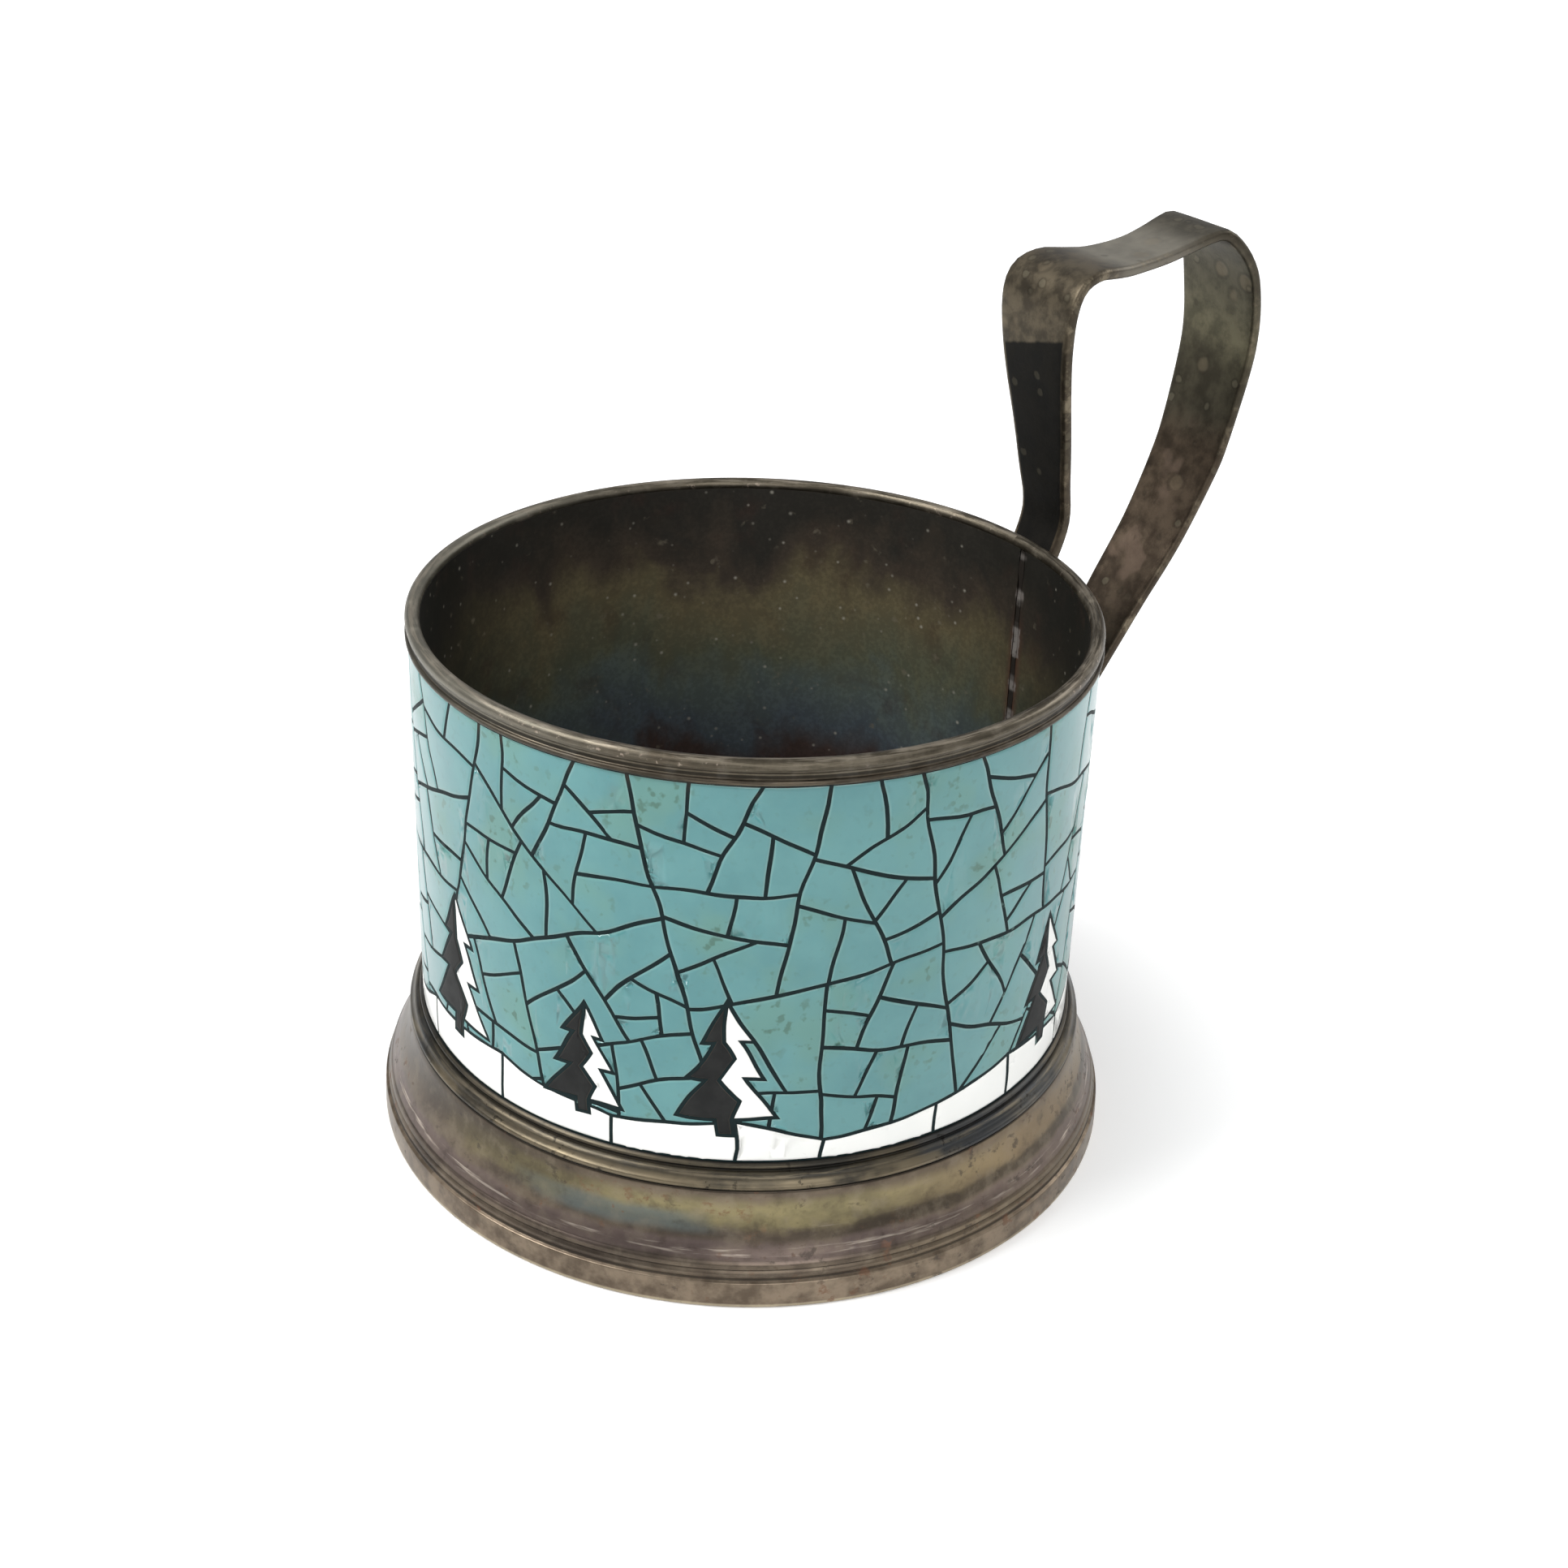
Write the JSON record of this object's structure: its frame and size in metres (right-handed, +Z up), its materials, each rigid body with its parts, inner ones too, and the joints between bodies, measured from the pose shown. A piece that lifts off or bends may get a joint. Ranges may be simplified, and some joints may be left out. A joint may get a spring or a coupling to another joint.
{
  "type": "tea glass holder",
  "caption": "Round enamelled metal holder for a tea glass, with a beaded rim, a flared foot and a tall bent strap handle.",
  "frame": {"origin": "on the sleeve's axis, at the table that the foot stands on", "axes": "+Z up along the sleeve's axis, +X from the axis towards the handle"},
  "size_m": [0.1032, 0.0802, 0.0915],
  "materials": {
    "old_silver": "tarnished silver over brass, worn bright on the ridges",
    "solder": "dull solder",
    "turquoise_enamel": "glossy opaque enamel",
    "white_enamel": "glossy opaque enamel",
    "black_enamel": "matt opaque enamel"
  },
  "bodies": {
    "root": {"sleeve": "old_silver", "seam_solder": "solder", "cell_walls": "old_silver", "enamel_turquoise": "turquoise_enamel", "enamel_white": "white_enamel", "enamel_black": "black_enamel", "rim_ring": "old_silver", "foot_collar": "old_silver", "foot": "old_silver", "seat_disc": "old_silver", "handle": "old_silver", "upper_solder": "solder", "lower_solder": "solder"}
  },
  "joints": []
}
